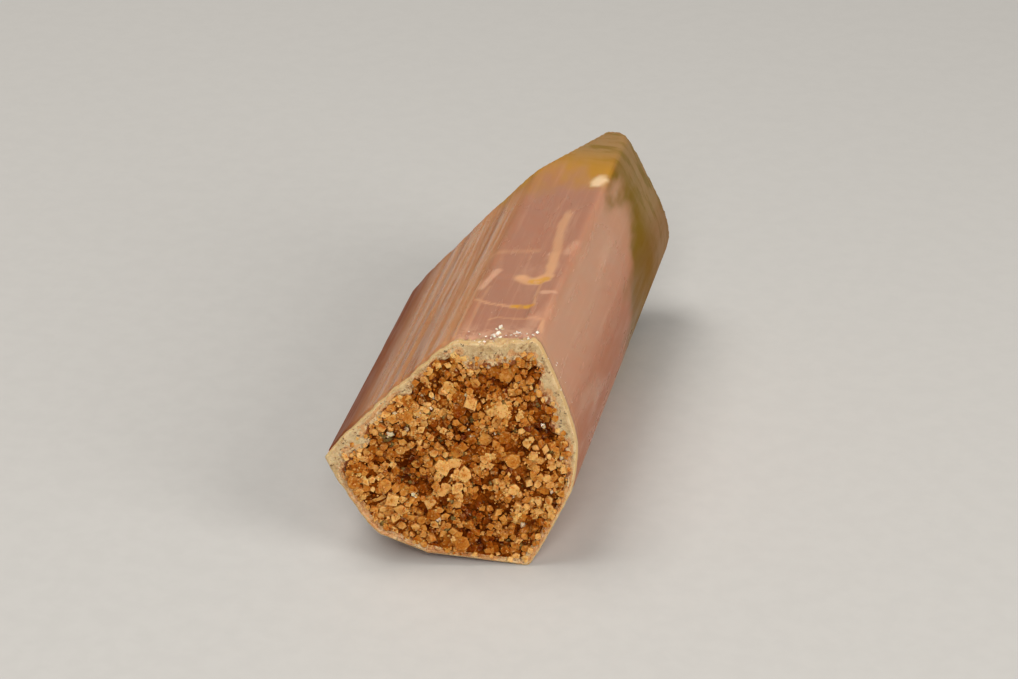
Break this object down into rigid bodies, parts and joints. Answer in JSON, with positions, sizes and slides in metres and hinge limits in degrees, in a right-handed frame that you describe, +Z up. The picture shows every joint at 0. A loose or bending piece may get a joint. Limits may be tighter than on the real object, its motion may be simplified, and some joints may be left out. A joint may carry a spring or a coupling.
{
  "type": "elbaite crystal",
  "caption": "Lengthwise grooved tourmaline crystal, dusty pink with a green and gold grown end and a grainy broken end in a smooth pale lip, lying on a flat flank as a mineral specimen.",
  "frame": {"origin": "middle of the bounding box's base, on the surface the crystal lies on", "axes": "+Y along the crystal's axis, from the broken end to the grown end; +Z up; +X to the right seen from the broken end"},
  "size_m": [0.012, 0.029, 0.0113],
  "materials": {
    "tourmaline": "vitreous, cloudy and translucent, grooved along its length"
  },
  "bodies": {
    "root": {"elbaite_crystal": "tourmaline"}
  },
  "joints": []
}
